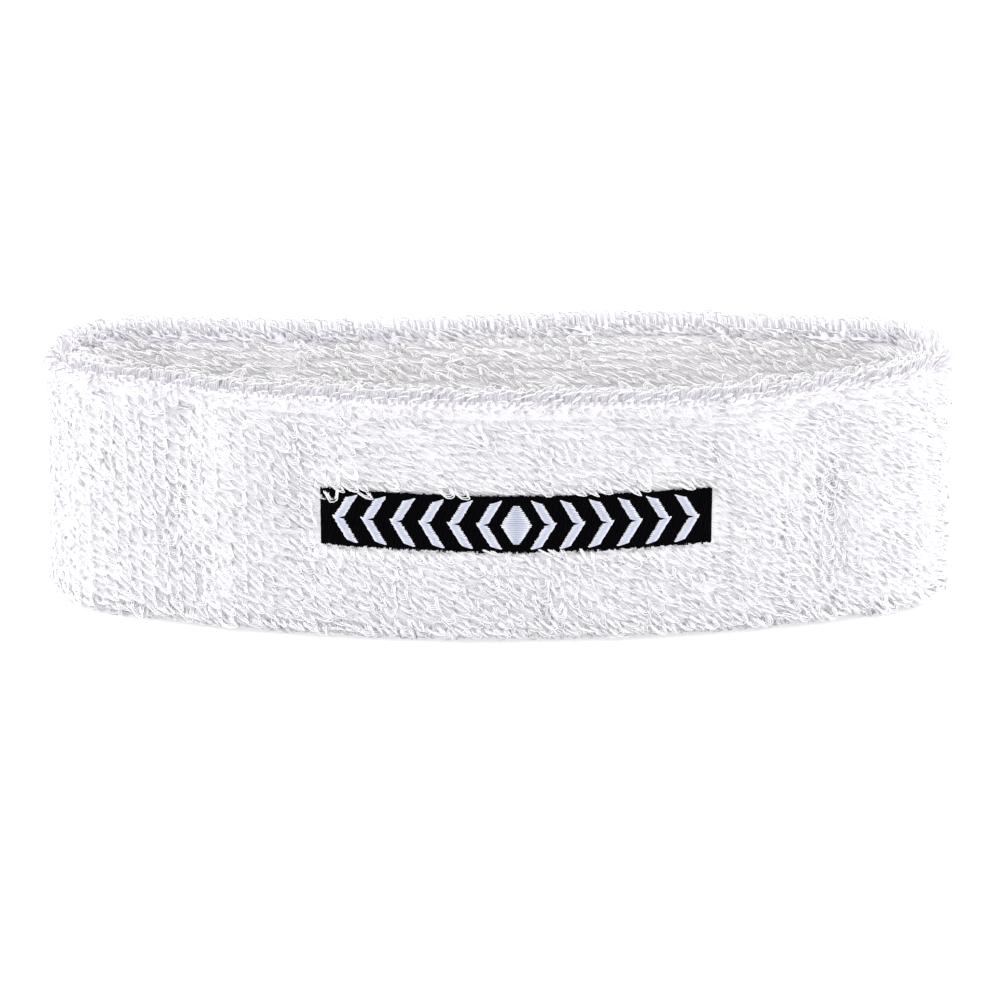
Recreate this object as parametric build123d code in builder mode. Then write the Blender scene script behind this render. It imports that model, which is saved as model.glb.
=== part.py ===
"""Sports headband: a ring of terry knit folded double, with an embroidered front.

The band stands on its folded edge. X is its width, the front faces -Y, Z is up,
and the origin is the middle of its footprint.
"""
import os
from math import atan2, degrees

from build123d import *

os.makedirs("parts", exist_ok=True)

# --- The band's outline, seen from above (mm) --------------------------------
band_width = 175.0  # outside, end to end
band_height = 50.0  # folded edge to welt
end_radius = 18.0  # outside of the two tight ends
front_bow = 16.0  # how far the front crown stands out past the ends
back_bow = 1.6  # the same for the back, which hangs almost straight

# --- The knit, layer by layer (mm) -------------------------------------------
pile_depth = 2.0  # terry loops, on the face and on the head side
ply_thickness = 0.8  # ground knit that the loops stand on
core_slack = 0.15  # room left over between what lies between the plies
layer_clearance = 0.05  # between layers that lie on each other

# --- Edges and seam (mm) -----------------------------------------------------
fold_height = 5.0  # the lower edge, where the tube turns over
fold_rounding = 2.2
welt_height = 3.8  # the rolled upper edge
welt_rounding = 2.6
ground_rounding = 1.0  # on the ground knit inside either edge
groove_height = 1.0  # the linking seam draws the pile in below the welt
hem_depth = 7.0  # raw edges turned in between the plies
wales = 144  # stitches round the band
link_length = 2.0  # one stitch of the linking seam
link_thickness = 0.5
elastic_diameter = 0.6
elastic_count = 9  # covered rubber threads laid in between the plies
elastic_margin = 1.8  # from the outermost threads to the fold and the hems

# --- Embroidery (mm) ---------------------------------------------------------
motif_height = 8.8
motif_stroke = 1.9  # width of a satin stroke
motif_pitch = 5.5  # from one chevron to the next
motif_point = 2.6  # how far a chevron's point leads its ends
motif_thickness = 0.5
chevrons_per_side = 6
lozenge_width = 5.6
field_border = 1.0  # field above and below the motif
field_ends = 2.55  # field past the outermost chevrons
field_corner = 0.8
field_shift = 3.1  # the field sits this far to the right of the band's middle
field_thickness = 0.7
field_window = 0.3  # pile held back round the field
underlay_margin = 0.8  # first stitches stop short of the field's edge
underlay_thickness = 0.3
backing_margin = 3.0  # stabiliser left past the field
backing_thickness = 0.25
bobbin_thickness = 0.2

# --- Worked out from the sizes above -----------------------------------------
core_layers = backing_thickness + bobbin_thickness + elastic_diameter
core_gap = core_layers + 4 * layer_clearance + core_slack
wall_thickness = 2 * (pile_depth + ply_thickness) + core_gap
front_depth = end_radius + front_bow
back_depth = end_radius + back_bow
end_x = band_width / 2 - end_radius
end_y = (front_depth - back_depth) / 2
core_inset = pile_depth + ply_thickness
core_middle = wall_thickness / 2
welt_base = band_height - welt_height
pile_top = welt_base - groove_height
core_floor = pile_depth + ply_thickness
core_ceiling = band_height - core_floor
hem_bottom = core_ceiling - hem_depth
seam_height = (welt_base + pile_top) / 2
first_chevron = (lozenge_width + motif_pitch) / 2
motif_reach = first_chevron + (chevrons_per_side - 1) * motif_pitch + motif_stroke
field_width = 2 * (motif_reach + field_ends)
field_height = motif_height + 2 * field_border
field_middle = band_height / 2
front_y = end_y - front_depth


def arc_radius(depth):
    """Radius of the arc that leads both ends by depth and runs into them without a kink."""
    return (end_x**2 + depth**2 - end_radius**2) / (2 * (depth - end_radius))


def band_line(inset):
    """Draw the band's closed outline, inset from its outer face, in a line or sketch."""
    front_radius = arc_radius(front_depth)
    back_radius = arc_radius(back_depth)
    front_turn = degrees(atan2(end_x, front_radius - front_depth))
    back_turn = degrees(atan2(end_x, back_radius - back_depth))
    end_turn = 180 - front_turn - back_turn
    front_centre = (0, end_y + front_radius - front_depth)
    back_centre = (0, end_y - back_radius + back_depth)
    CenterArc(front_centre, front_radius - inset, -90 - front_turn, 2 * front_turn)
    CenterArc((end_x, end_y), end_radius - inset, front_turn - 90, end_turn)
    CenterArc(back_centre, back_radius - inset, 90 - back_turn, 2 * back_turn)
    CenterArc((-end_x, end_y), end_radius - inset, back_turn + 90, end_turn)


def ring(bottom, top, outer_inset, inner_inset, mode=Mode.ADD):
    """Extrude the band's wall from bottom to top between two insets."""
    with BuildSketch(Plane.XY.offset(bottom)) as wall:
        with BuildLine():
            band_line(outer_inset)
        make_face()
        with BuildLine():
            band_line(inner_inset)
        make_face(mode=Mode.SUBTRACT)
    extrude(wall.sketch, amount=top - bottom, mode=mode)


def edges_at(part, height):
    """The edges of a part that lie level at a height."""
    return part.edges().filter_by_position(Axis.Z, height, height)


def stitch_row(inset, height):
    """Lay one linking stitch per wale along the outline at an inset."""
    with BuildLine(mode=Mode.PRIVATE) as path:
        band_line(inset)
    course = path.wire()
    with BuildSketch(Plane.XY.offset(height - link_thickness / 2)) as row:
        for wale in range(wales):
            place = course @ (wale / wales)
            along = course % (wale / wales)
            with Locations(place):
                SlotOverall(link_length, link_thickness, rotation=degrees(atan2(along.Y, along.X)))
    extrude(row.sketch, amount=link_thickness)


def keep_front_patch(width, height, corner):
    """Keep only what lies behind a rounded rectangle on the front of the band."""
    with BuildSketch(Plane.XZ) as patch:
        with Locations((field_shift, field_middle)):
            RectangleRounded(width, height, corner)
    extrude(patch.sketch, amount=-front_y, mode=Mode.INTERSECT)


def export(part, name):
    """Label a finished piece and write its STEP file."""
    part.label = name
    export_step(part, f"parts/{name}.step")


# --- Terry pile ----------------------------------------------------------------
with BuildPart() as face_pile:
    ring(fold_height, pile_top, 0, pile_depth - layer_clearance)
    with BuildSketch(Plane.XZ):
        with Locations((field_shift, field_middle)):
            RectangleRounded(
                field_width + 2 * field_window,
                field_height + 2 * field_window,
                field_corner + field_window,
            )
    extrude(amount=-front_y, mode=Mode.SUBTRACT)
export(face_pile.part, "face_pile")

with BuildPart() as head_pile:
    ring(fold_height, pile_top, wall_thickness - pile_depth + layer_clearance, wall_thickness)
export(head_pile.part, "head_pile")

with BuildPart() as fold_pile:
    ring(0, fold_height, 0, wall_thickness)
    fillet(edges_at(fold_pile, 0), fold_rounding)
    ring(
        pile_depth - layer_clearance,
        fold_height,
        pile_depth - layer_clearance,
        wall_thickness - pile_depth + layer_clearance,
        mode=Mode.SUBTRACT,
    )
export(fold_pile.part, "fold_pile")

with BuildPart() as welt_pile:
    ring(welt_base, band_height, 0, wall_thickness)
    fillet(edges_at(welt_pile, band_height), welt_rounding)
    ring(
        welt_base,
        band_height - pile_depth + layer_clearance,
        pile_depth - layer_clearance,
        wall_thickness - pile_depth + layer_clearance,
        mode=Mode.SUBTRACT,
    )
export(welt_pile.part, "welt_pile")

# --- Ground knit ---------------------------------------------------------------
with BuildPart() as face_ply:
    ring(fold_height, welt_base, pile_depth, core_inset)
export(face_ply.part, "face_ply")

with BuildPart() as head_ply:
    ring(fold_height, welt_base, wall_thickness - core_inset, wall_thickness - pile_depth)
export(head_ply.part, "head_ply")

with BuildPart() as bottom_fold:
    ring(pile_depth, fold_height, pile_depth, wall_thickness - pile_depth)
    fillet(edges_at(bottom_fold, pile_depth), ground_rounding)
    ring(core_floor, fold_height, core_inset, wall_thickness - core_inset, mode=Mode.SUBTRACT)
export(bottom_fold.part, "bottom_fold")

with BuildPart() as top_turn:
    ring(welt_base, band_height - pile_depth, pile_depth, wall_thickness - pile_depth)
    fillet(edges_at(top_turn, band_height - pile_depth), ground_rounding)
    ring(welt_base, core_ceiling, core_inset, wall_thickness - core_inset, mode=Mode.SUBTRACT)
export(top_turn.part, "top_turn")

with BuildPart() as face_hem:
    ring(
        hem_bottom,
        core_ceiling - layer_clearance,
        core_inset + layer_clearance,
        core_middle - layer_clearance / 2,
    )
export(face_hem.part, "face_hem")

with BuildPart() as head_hem:
    ring(
        hem_bottom,
        core_ceiling - layer_clearance,
        core_middle + layer_clearance / 2,
        wall_thickness - core_inset - layer_clearance,
    )
export(head_hem.part, "head_hem")

# --- Linking seam, in the groove under the welt ----------------------------------
with BuildPart() as linking_stitches_face:
    stitch_row(pile_depth - layer_clearance - link_thickness / 2, seam_height)
export(linking_stitches_face.part, "linking_stitches_face")

with BuildPart() as linking_stitches_head:
    stitch_row(wall_thickness - pile_depth + layer_clearance + link_thickness / 2, seam_height)
export(linking_stitches_head.part, "linking_stitches_head")

# --- Elastic threads, towards the head side of the core ---------------------------
elastic_inset = wall_thickness - core_inset - layer_clearance - elastic_diameter / 2
lowest_thread = fold_height + elastic_margin
thread_pitch = (hem_bottom - elastic_margin - lowest_thread) / (elastic_count - 1)

with BuildPart() as elastic_threads:
    for lay in range(elastic_count):
        with BuildLine(Plane.XY.offset(lowest_thread + lay * thread_pitch)) as course:
            band_line(elastic_inset)
        with BuildSketch(Plane(origin=course.wire() @ 0, z_dir=course.wire() % 0)):
            Circle(elastic_diameter / 2)
        sweep(path=course.wire())
export(elastic_threads.part, "elastic_threads")

# --- Embroidery on the face, from the ply outwards --------------------------------
underlay_face = pile_depth - layer_clearance - underlay_thickness
field_back = underlay_face - layer_clearance
field_face = field_back - field_thickness
motif_back = field_face - layer_clearance
motif_face = motif_back - motif_thickness

with BuildPart() as embroidery_underlay:
    ring(0, band_height, underlay_face, pile_depth - layer_clearance)
    keep_front_patch(
        field_width - 2 * underlay_margin, field_height - 2 * underlay_margin, field_corner
    )
export(embroidery_underlay.part, "embroidery_underlay")

with BuildPart() as embroidery_field:
    ring(0, band_height, field_face, field_back)
    keep_front_patch(field_width, field_height, field_corner)
export(embroidery_field.part, "embroidery_field")

with BuildPart() as embroidery_motif:
    ring(0, band_height, motif_face, motif_back)
    motif_top = field_middle + motif_height / 2
    motif_bottom = field_middle - motif_height / 2
    with BuildSketch(Plane.XZ):
        with BuildLine():
            Polyline(
                (field_shift - lozenge_width / 2, field_middle),
                (field_shift, motif_top),
                (field_shift + lozenge_width / 2, field_middle),
                (field_shift, motif_bottom),
                close=True,
            )
        make_face()
        for side in (-1, 1):
            stroke = side * motif_stroke
            for step in range(chevrons_per_side):
                point = field_shift + side * (first_chevron + step * motif_pitch)
                tail = point - side * motif_point
                with BuildLine():
                    Polyline(
                        (tail, motif_top),
                        (tail + stroke, motif_top),
                        (point + stroke, field_middle),
                        (tail + stroke, motif_bottom),
                        (tail, motif_bottom),
                        (point, field_middle),
                        close=True,
                    )
                make_face()
    extrude(amount=-front_y, mode=Mode.INTERSECT)
export(embroidery_motif.part, "embroidery_motif")

# --- Embroidery in the core, behind the face ply -----------------------------------
backing_face = core_inset + layer_clearance
backing_back = backing_face + backing_thickness
bobbin_face = backing_back + layer_clearance

with BuildPart() as embroidery_backing:
    ring(0, band_height, backing_face, backing_back)
    keep_front_patch(
        field_width + 2 * backing_margin, field_height + 2 * backing_margin, field_corner
    )
export(embroidery_backing.part, "embroidery_backing")

with BuildPart() as bobbin_stitches:
    ring(0, band_height, bobbin_face, bobbin_face + bobbin_thickness)
    keep_front_patch(field_width, field_height, field_corner)
export(bobbin_stitches.part, "bobbin_stitches")
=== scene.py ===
"""Sports headband in white terry knit, with an embroidered field on its front.

The band is built as a mill makes it: one knitted tube folded double, with terry
loops on both sides, a linked seam under the upper edge, elastic threads between
the plies, and an embroidered field of black fill with raised white chevrons.
Lengths are metres unless a name says otherwise.
"""
import logging
import math
import random
from collections.abc import Callable
from dataclasses import dataclass
from enum import Enum

import bmesh
import bpy
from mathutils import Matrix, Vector


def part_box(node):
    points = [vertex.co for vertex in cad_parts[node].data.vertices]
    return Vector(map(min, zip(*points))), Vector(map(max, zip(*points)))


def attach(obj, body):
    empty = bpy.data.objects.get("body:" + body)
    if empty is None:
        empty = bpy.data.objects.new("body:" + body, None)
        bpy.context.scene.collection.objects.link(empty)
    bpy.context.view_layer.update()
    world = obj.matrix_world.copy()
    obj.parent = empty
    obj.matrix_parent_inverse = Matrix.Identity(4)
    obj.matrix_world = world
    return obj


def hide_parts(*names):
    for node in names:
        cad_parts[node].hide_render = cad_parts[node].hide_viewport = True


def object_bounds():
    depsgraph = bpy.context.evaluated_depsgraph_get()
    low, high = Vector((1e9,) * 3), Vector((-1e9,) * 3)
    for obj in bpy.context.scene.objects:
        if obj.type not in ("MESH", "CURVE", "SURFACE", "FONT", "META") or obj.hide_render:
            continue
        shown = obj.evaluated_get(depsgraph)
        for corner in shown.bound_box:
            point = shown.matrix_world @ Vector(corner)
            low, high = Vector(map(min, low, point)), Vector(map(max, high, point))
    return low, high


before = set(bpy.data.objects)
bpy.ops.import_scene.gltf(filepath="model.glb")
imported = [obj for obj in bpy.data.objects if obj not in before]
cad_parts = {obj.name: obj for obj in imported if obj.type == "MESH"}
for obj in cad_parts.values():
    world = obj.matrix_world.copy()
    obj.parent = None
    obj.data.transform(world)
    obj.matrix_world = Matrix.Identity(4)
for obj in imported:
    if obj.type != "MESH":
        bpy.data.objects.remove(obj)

log = logging.getLogger("headband")

MM = 0.001
BODY = "root"
Inputs = dict[str | int, object]
Link = tuple[bpy.types.Node, str | int, bpy.types.Node, str | int]
UP = Vector((0.0, 0.0, 1.0))
CAD_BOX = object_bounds()
SLOPE_STEP = 0.5 * MM
YARN_SIDES = 4
QUARTERS = ("front_right", "back_right", "back_left", "front_left")


# The band's shape
class Side(Enum):
    """Which way a layer of the band faces."""

    FACE = 1
    HEAD = -1


@dataclass(frozen=True)
class Patch:
    """A soft-edged patch of the front, where the slack knit does something of its own.

    Attributes:
        middle: place of its middle along X.
        width: how far it spreads along X.
        amount: how strong it is in its middle.
        level: height of its middle above the floor.
        spread: how far it reaches up and down.
    """

    middle: float
    width: float
    amount: float
    level: float
    spread: float

    def at(self, x: float, z: float) -> float:
        """Return the patch's strength at a place on the front, near zero well outside it."""
        across, along = (x - self.middle) / self.width, (z - self.level) / self.spread
        return self.amount * math.exp(-across * across - along * along)


@dataclass(frozen=True)
class Spot:
    """A place on the knit, with the directions that matter there.

    Attributes:
        point: the place itself.
        out: away from the knit.
        along: round the band, to the right as seen from outside it.
        up: along the wales, from the fold up the face and down the head side.
    """

    point: Vector
    out: Vector
    along: Vector
    up: Vector


@dataclass(frozen=True)
class BandShape:
    """The ring that every layer follows: four arcs in plan and an upright wall.

    Attributes:
        end_radius: outer radius of the two tight ends.
        back_bow: how far the back stands out past the ends.
        wall: thickness of the doubled fabric, loops included.
        pile: depth of the loops.
        wales: stitches round the band.
        lean: how far the front's upper edge leans out.
        back_wave: rise and fall of the back's upper edge.
        back_wave_length: from a rise to the fall beside it.
        droop: how far the front's upper edge sinks on its right.
        droop_middle: where it sinks most, along X.
        droop_width: how far the sinking spreads along X.
        seam_level: height of the linking seam.
        seam_pinch: how far the seam draws each ply in.
        seam_width: how far the groove reaches above and below the seam.
        swells: ripples that stand out, or in where they are negative.
        sags: where the knit hangs lower than it was made, or higher.
    """

    end_radius: float = 18.0 * MM
    back_bow: float = 1.6 * MM
    wall: float = 7.0 * MM
    pile: float = 2.0 * MM
    wales: int = 144
    lean: float = 2.4 * MM
    back_wave: float = 1.0 * MM
    back_wave_length: float = 62 * MM
    droop: float = 0.9 * MM
    droop_middle: float = 42 * MM
    droop_width: float = 24 * MM
    seam_level: float = 45.7 * MM
    seam_pinch: float = 0.4 * MM
    seam_width: float = 0.9 * MM
    swells: tuple[Patch, ...] = (
        Patch(-62.5 * MM, 4.2 * MM, -0.8 * MM, 24 * MM, 17 * MM),
        Patch(-53.0 * MM, 5.5 * MM, 1.0 * MM, 26 * MM, 20 * MM),
        Patch(-39.0 * MM, 4.5 * MM, -1.2 * MM, 28 * MM, 15 * MM),
        Patch(-57.5 * MM, 2.6 * MM, -1.1 * MM, 13 * MM, 5 * MM),
        Patch(-61.0 * MM, 2.2 * MM, -1.2 * MM, 44 * MM, 4 * MM),
        Patch(49.0 * MM, 6.5 * MM, 1.2 * MM, 28 * MM, 16 * MM),
        Patch(63.0 * MM, 4.5 * MM, -1.2 * MM, 28 * MM, 17 * MM),
        Patch(71.0 * MM, 4.0 * MM, 0.6 * MM, 24 * MM, 18 * MM),
        Patch(0.0, 44.0 * MM, -0.4 * MM, 25 * MM, 6 * MM),
    )
    sags: tuple[Patch, ...] = (Patch(3.0 * MM, 30.0 * MM, -1.1 * MM, 24 * MM, 12 * MM),)

    @property
    def half_width(self) -> float:
        """Half the band's outside width."""
        return CAD_BOX[1][0]

    @property
    def height(self) -> float:
        """Height from the folded edge to the top of the welt."""
        return CAD_BOX[1][2]

    @property
    def end_x(self) -> float:
        """X of the ends' centres."""
        return self.half_width - self.end_radius

    @property
    def back_depth(self) -> float:
        """From the line through the ends' centres to the back's crown."""
        return self.end_radius + self.back_bow

    @property
    def end_y(self) -> float:
        """Y of the ends' centres."""
        return CAD_BOX[1][1] - self.back_depth

    @property
    def front_depth(self) -> float:
        """From the line through the ends' centres to the front's crown."""
        return self.end_y - CAD_BOX[0][1]

    def arc_radius(self, depth: float) -> float:
        """Return the radius of the arc that leads both ends by a depth."""
        lead = 2 * (depth - self.end_radius)
        return (self.end_x**2 + depth**2 - self.end_radius**2) / lead

    def arcs(self, inset: float) -> list[tuple[Vector, float, float, float]]:
        """List the outline's arcs from the front's middle, turning left.

        Args:
            inset: distance in from the outer face.

        Returns:
            For each arc its centre, radius, first angle and sweep.
        """
        front = self.arc_radius(self.front_depth)
        back = self.arc_radius(self.back_depth)
        front_turn = math.atan2(self.end_x, front - self.front_depth)
        back_turn = math.atan2(self.end_x, back - self.back_depth)
        end_turn = math.pi - front_turn - back_turn
        quarter = math.pi / 2
        front_centre = Vector((0, self.end_y + front - self.front_depth))
        back_centre = Vector((0, self.end_y - back + self.back_depth))
        right = Vector((self.end_x, self.end_y))
        left = Vector((-self.end_x, self.end_y))
        end = self.end_radius - inset
        return [
            (front_centre, front - inset, -quarter, front_turn),
            (right, end, front_turn - quarter, end_turn),
            (back_centre, back - inset, quarter - back_turn, 2 * back_turn),
            (left, end, quarter + back_turn, end_turn),
            (front_centre, front - inset, -quarter - front_turn, front_turn),
        ]

    def girth(self, inset: float) -> float:
        """Return the length of the outline at an inset."""
        return sum(radius * sweep for _, radius, _, sweep in self.arcs(inset))

    def relief(self, x: float, y: float, z: float) -> float:
        """Find how far the slack wall stands out from the plain outline.

        Args:
            x: place on the plain outline.
            y: place on the plain outline.
            z: height above the floor.

        Returns:
            The distance, negative where the wall falls in.
        """
        if y > self.end_y:
            return 0.0
        share = max(0.0, 1 - (x / self.half_width) ** 2)
        leaning = self.lean * share * (z / self.height - 0.5)
        return leaning + sum(swell.at(x, z) for swell in self.swells)

    def lift(self, x: float, y: float, z: float) -> float:
        """Find how far a place on the knit rises or sinks.

        Args:
            x: place on the plain outline.
            y: place on the plain outline.
            z: height above the floor.

        Returns:
            The rise, negative where it sinks.
        """
        share = (z / self.height) ** 2
        if y > self.end_y:
            wave = math.sin(math.pi * x / self.back_wave_length) * (1 - (x / self.half_width) ** 2)
            return self.back_wave * wave * share
        droop = self.droop * math.exp(-(((x - self.droop_middle) / self.droop_width) ** 2)) * share
        return sum(sag.at(x, z) for sag in self.sags) - droop

    def spot(self, share: float, inset: float, z: float, side: Side = Side.FACE) -> Spot:
        """Find a place on the band.

        Args:
            share: share of the way round, from the front's middle to the right.
            inset: distance in from the outer face.
            z: height above the floor before the edge's rise and fall.
            side: which way the layer faces.

        Returns:
            The place and its directions.
        """
        left_over = (share % 1.0) % 1.0 * self.girth(inset)
        for centre, radius, start, sweep in self.arcs(inset):
            if left_over <= radius * sweep:
                break
            left_over -= radius * sweep
        angle = start + min(left_over / radius, sweep)
        normal = Vector((math.cos(angle), math.sin(angle), 0))
        plain = Vector((centre.x, centre.y, 0)) + radius * normal
        along = Vector((-normal.y, normal.x, 0))
        stand = self.relief(plain.x, plain.y, z)
        beside = plain + along * SLOPE_STEP
        slope = (self.relief(beside.x, beside.y, z) - stand) / SLOPE_STEP
        climb = (self.relief(plain.x, plain.y, z + SLOPE_STEP) - stand) / SLOPE_STEP
        out = (normal - along * slope - UP * climb).normalized()
        point = plain + normal * stand + UP * (z + self.lift(plain.x, plain.y, z))
        return Spot(point, out * side.value, along, UP * side.value)


SHAPE = BandShape()


# Finishes
def set_inputs(node: bpy.types.Node, inputs: Inputs) -> None:
    """Set a node's inputs by name or number."""
    for socket, value in inputs.items():
        node.inputs[socket].default_value = value


def add_node(
    tree: bpy.types.NodeTree, kind: str, inputs: Inputs | None = None, **settings: object
) -> bpy.types.Node:
    """Add a node, set its plain properties and then its inputs.

    Args:
        tree: the node tree to add to.
        kind: the node's type name.
        inputs: values for its inputs, by name or number.
        **settings: properties of the node itself.

    Returns:
        The new node.
    """
    node = tree.nodes.new(kind)
    for name, value in settings.items():
        setattr(node, name, value)
    set_inputs(node, inputs or {})
    return node


def wire(tree: bpy.types.NodeTree, *links: Link) -> None:
    """Join nodes: each link names a node and its output, then a node and its input."""
    for source, output, target, entry in links:
        tree.links.new(source.outputs[output], target.inputs[entry])


def add_material(name: str, inputs: Inputs) -> tuple[bpy.types.Material, bpy.types.Node]:
    """Add a material and set its shader's inputs.

    Args:
        name: the material's name.
        inputs: values for the shader's inputs, by name.

    Returns:
        The material and its shader.
    """
    material = bpy.data.materials.new(name)
    material.use_nodes = True
    shader = material.node_tree.nodes["Principled BSDF"]
    set_inputs(shader, inputs)
    return material, shader


def fibre_group() -> bpy.types.NodeTree:
    """Make, once, the shared group that gives any yarn its fine, uneven fibres.

    Returns:
        The group, with a varying colour and a height.
    """
    name = "yarn_fibres"
    if name in bpy.data.node_groups:
        return bpy.data.node_groups[name]
    tree = bpy.data.node_groups.new(name, "ShaderNodeTree")
    for socket, default in (("Low Colour", (0.8, 0.8, 0.8, 1)), ("High Colour", (1, 1, 1, 1))):
        entry = tree.interface.new_socket(socket, in_out="INPUT", socket_type="NodeSocketColor")
        entry.default_value = default
    tree.interface.new_socket("Colour", in_out="OUTPUT", socket_type="NodeSocketColor")
    tree.interface.new_socket("Height", in_out="OUTPUT", socket_type="NodeSocketFloat")
    entry = add_node(tree, "NodeGroupInput")
    leave = add_node(tree, "NodeGroupOutput")
    place = add_node(tree, "ShaderNodeTexCoord")
    fibres = add_node(tree, "ShaderNodeTexNoise", {"Scale": 9000.0, "Detail": 3.0})
    patches = add_node(tree, "ShaderNodeTexNoise", {"Scale": 260.0, "Detail": 2.0})
    # The colour mix follows the fibres' height, darker in their hollows: painted shade, blended with
    # random patches of tone.
    blend = add_node(tree, "ShaderNodeMath", {1: 0.55}, operation="MULTIPLY_ADD")
    shift = add_node(tree, "ShaderNodeMath", {1: 0.45}, operation="MULTIPLY")
    colour = add_node(tree, "ShaderNodeMix", data_type="RGBA")
    wire(
        tree,
        (place, "Object", fibres, "Vector"),
        (place, "Object", patches, "Vector"),
        (patches, "Fac", shift, 0),
        (fibres, "Fac", blend, 0),
        (shift, 0, blend, 2),
        (blend, 0, colour, "Factor"),
        (entry, "Low Colour", colour, "A"),
        (entry, "High Colour", colour, "B"),
        (colour, "Result", leave, "Colour"),
        (fibres, "Fac", leave, "Height"),
    )
    return tree


@dataclass(frozen=True)
class Finish:
    """What a piece is dressed in.

    Attributes:
        name: the material's name.
        low: colour between the fibres or stitches, painted shade in their hollows.
        high: colour on them.
    """

    name: str
    low: tuple[float, float, float]
    high: tuple[float, float, float]

    def build(self) -> bpy.types.Material:
        """Return the finish as a material, made once."""
        return bpy.data.materials.get(self.name) or self.make()

    def make(self) -> bpy.types.Material:
        """Make the material; each kind of finish says how."""
        raise NotImplementedError


@dataclass(frozen=True)
class YarnFinish(Finish):
    """A thread or yarn, with one colour at its root and another where it stands out.

    Attributes:
        root: colour where the strand leaves the knit: painted shade where it is darker than the
            strand's other colours, painted light where it is lighter.
        roughness: how matt the fibres are.
        sheen: soft light along the edges.
        coat: gloss of a lustrous thread.
        bump: how deep the fibres lie.
        glow: how much light passes through the strand.
        shine: strength of its plain reflection.
    """

    root: tuple[float, float, float]
    roughness: float = 0.9
    sheen: float = 0.1
    coat: float = 0.0
    bump: float = 0.12
    glow: float = 0.0
    shine: float = 0.25

    def make(self) -> bpy.types.Material:
        """Make the material.

        Returns:
            The material.
        """
        material, shader = add_material(
            self.name,
            {
                "Roughness": self.roughness,
                "Sheen Weight": self.sheen,
                "Sheen Roughness": 0.6,
                "Coat Weight": self.coat,
                "Coat Roughness": 0.35,
                "Subsurface Weight": self.glow,
                "Subsurface Radius": (1.0, 0.95, 1.0),
                "Subsurface Scale": 0.4 * MM,
                "Specular IOR Level": self.shine,
            },
        )
        tree = material.node_tree
        fibres = add_node(
            tree,
            "ShaderNodeGroup",
            {"Low Colour": (*self.low, 1), "High Colour": (*self.high, 1)},
            node_tree=fibre_group(),
        )
        # Painted light and shade: the lift attribute mixes the root colour in towards each strand's
        # roots.
        depth = add_node(tree, "ShaderNodeAttribute", attribute_name="lift")
        shade = add_node(tree, "ShaderNodeMix", {"A": (*self.root, 1)}, data_type="RGBA")
        bump = add_node(tree, "ShaderNodeBump", {"Strength": self.bump, "Distance": 0.05 * MM})
        wire(
            tree,
            (depth, "Fac", shade, "Factor"),
            (fibres, "Colour", shade, "B"),
            (shade, "Result", shader, "Base Color"),
            (fibres, "Height", bump, "Height"),
            (bump, "Normal", shader, "Normal"),
        )
        return material


@dataclass(frozen=True)
class KnitFinish(Finish):
    """Plain knitted cloth: slanting stitches, row on row, on the piece's own map.

    Attributes:
        wales: stitches across the map.
        courses: stitches up the map.
        slant: how far the stitches lean, in degrees.
        bump: how deep the stitches lie.
        depth: height of a stitch.
    """

    wales: float
    courses: float
    slant: float = 35.0
    bump: float = 0.8
    depth: float = 0.35 * MM

    def make(self) -> bpy.types.Material:
        """Make the material.

        Returns:
            The material.
        """
        material, shader = add_material(
            self.name, {"Roughness": 0.95, "Sheen Weight": 0.1, "Specular IOR Level": 0.1}
        )
        tree = material.node_tree
        turn = (0, 0, math.radians(self.slant))
        place = add_node(tree, "ShaderNodeUVMap", uv_map="map")
        scale = add_node(tree, "ShaderNodeMapping", {"Scale": (self.wales, self.courses, 1)})
        turned = add_node(tree, "ShaderNodeMapping", {"Rotation": turn})
        rows = add_node(
            tree, "ShaderNodeTexWave", {"Scale": 0.314, "Distortion": 2.0}, bands_direction="Y"
        )
        strands = add_node(
            tree,
            "ShaderNodeTexWave",
            {"Scale": 1.1, "Distortion": 2.5, "Detail Scale": 1.5},
            bands_direction="Y",
        )
        # Colour and bump share one pattern, so the hollows between the stitches are darker: painted
        # shade.
        both = add_node(tree, "ShaderNodeMath", {1: 0.6}, operation="MULTIPLY_ADD")
        share = add_node(tree, "ShaderNodeMath", {1: 0.4}, operation="MULTIPLY")
        tints = {"A": (*self.low, 1), "B": (*self.high, 1)}
        colour = add_node(tree, "ShaderNodeMix", tints, data_type="RGBA")
        bump = add_node(tree, "ShaderNodeBump", {"Strength": self.bump, "Distance": self.depth})
        wire(
            tree,
            (place, "UV", scale, "Vector"),
            (scale, "Vector", turned, "Vector"),
            (scale, "Vector", rows, "Vector"),
            (turned, "Vector", strands, "Vector"),
            (rows, "Fac", share, 0),
            (strands, "Fac", both, 0),
            (share, 0, both, 2),
            (both, 0, colour, "Factor"),
            (both, 0, bump, "Height"),
            (colour, "Result", shader, "Base Color"),
            (bump, "Normal", shader, "Normal"),
        )
        return material


# The loops are all one cotton. Its three tints are set for the light that reaches each side.
# Face and fold loops: a darker copy of the one cotton, painted shade, with roots lighter than the tips,
# painted light in the gaps between the loops.
COTTON = YarnFinish(
    "terry_cotton", (0.685, 0.675, 0.715), (0.735, 0.73, 0.76), (0.87, 0.85, 0.90), glow=0.7
)
# Head-side loops: a brighter copy of the same cotton, painted light.
HEAD_COTTON_PAINTED_LIGHT = YarnFinish(
    "head_cotton_painted_light", (0.96, 0.935, 0.945), (0.99, 0.98, 0.985), (0.99, 0.975, 0.985), glow=0.7
)
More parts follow.
